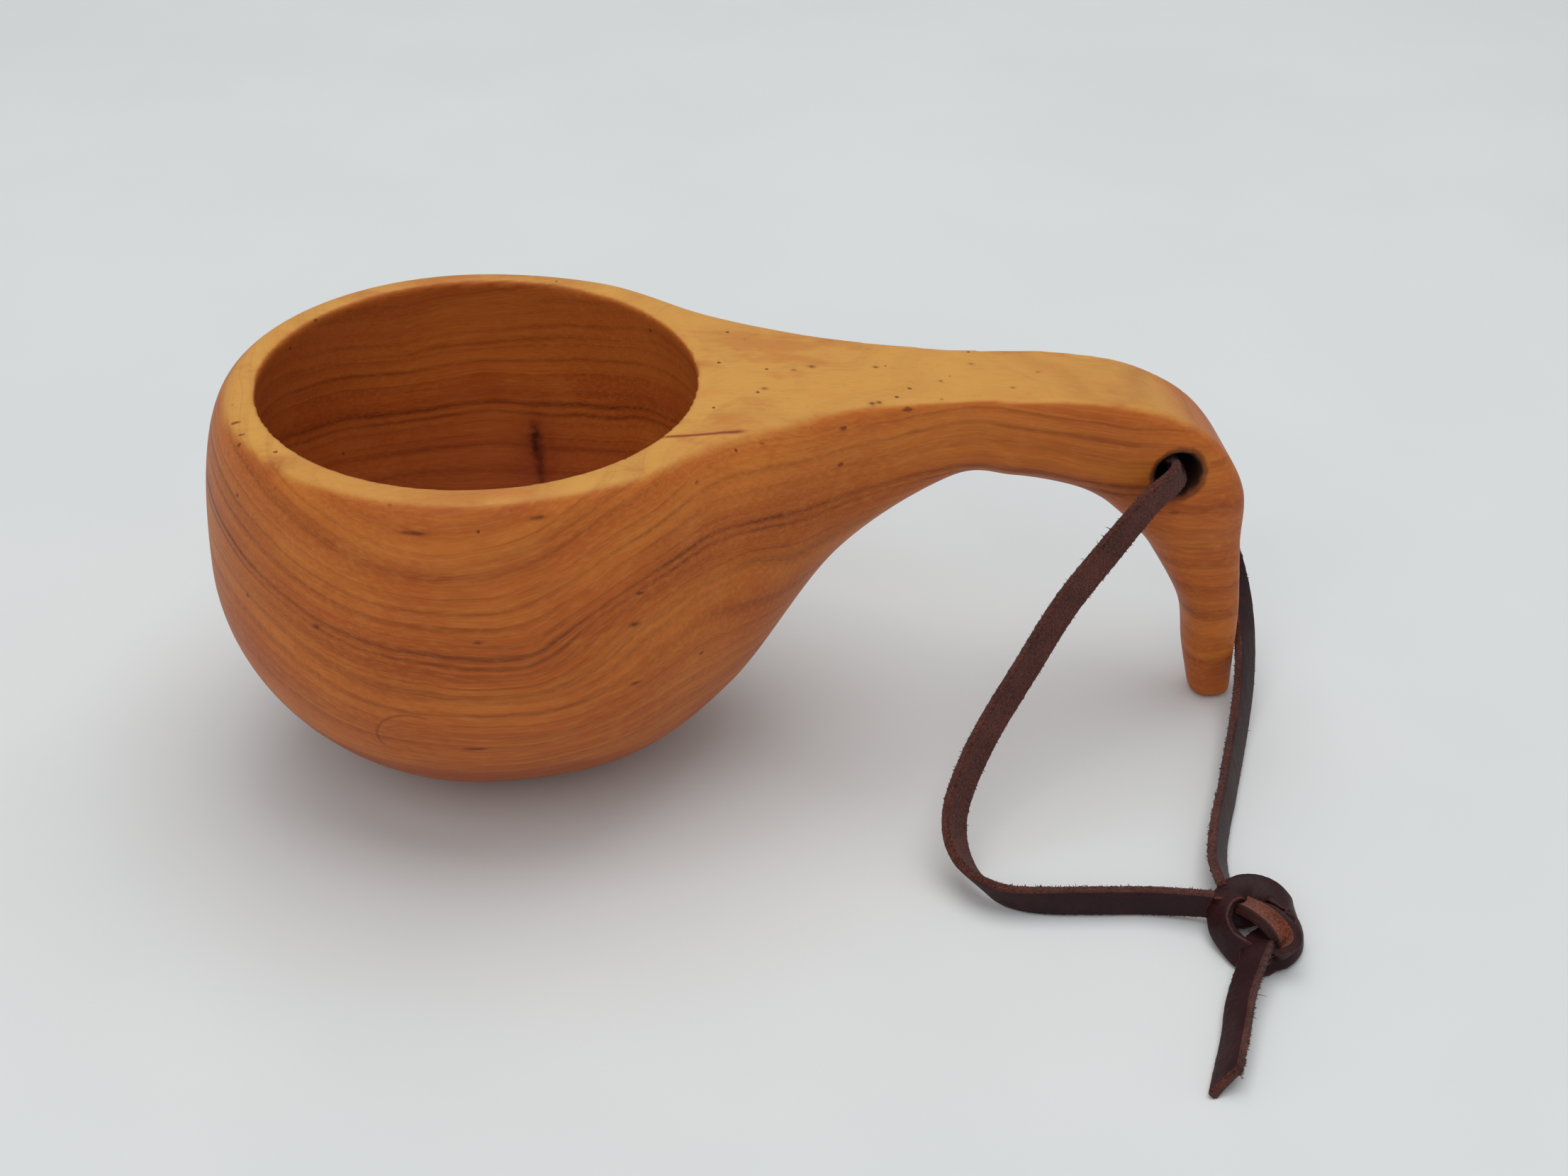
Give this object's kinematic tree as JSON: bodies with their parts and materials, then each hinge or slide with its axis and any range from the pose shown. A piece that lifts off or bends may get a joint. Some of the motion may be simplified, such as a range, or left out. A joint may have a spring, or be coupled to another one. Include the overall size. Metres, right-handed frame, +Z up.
{
  "type": "kuksa cup",
  "caption": "Carved wooden drinking cup with a hooked handle and a knotted leather wrist thong through the handle.",
  "frame": {"origin": "middle of the bowl's flat underside, on the table", "axes": "+Z up, +X from the bowl's middle along the handle, +Y to the far side"},
  "size_m": [0.2019, 0.16, 0.077],
  "materials": {
    "wood": "oiled, satin",
    "leather": "waxed grain side, rough flesh side"
  },
  "bodies": {
    "cup": {"cup": "wood"},
    "lanyard": {"lanyard_front_leg": "leather", "lanyard_back_leg": "leather", "lanyard_knot": "leather", "lanyard_tail": "leather"}
  },
  "joints": [
    {"name": "lanyard_swing", "type": "hinge", "parent": "cup", "child": "lanyard", "pos_m": [0.12796, 0, 0.05716], "axis": [0, -1, 0], "range_deg": [0, 110]}
  ]
}
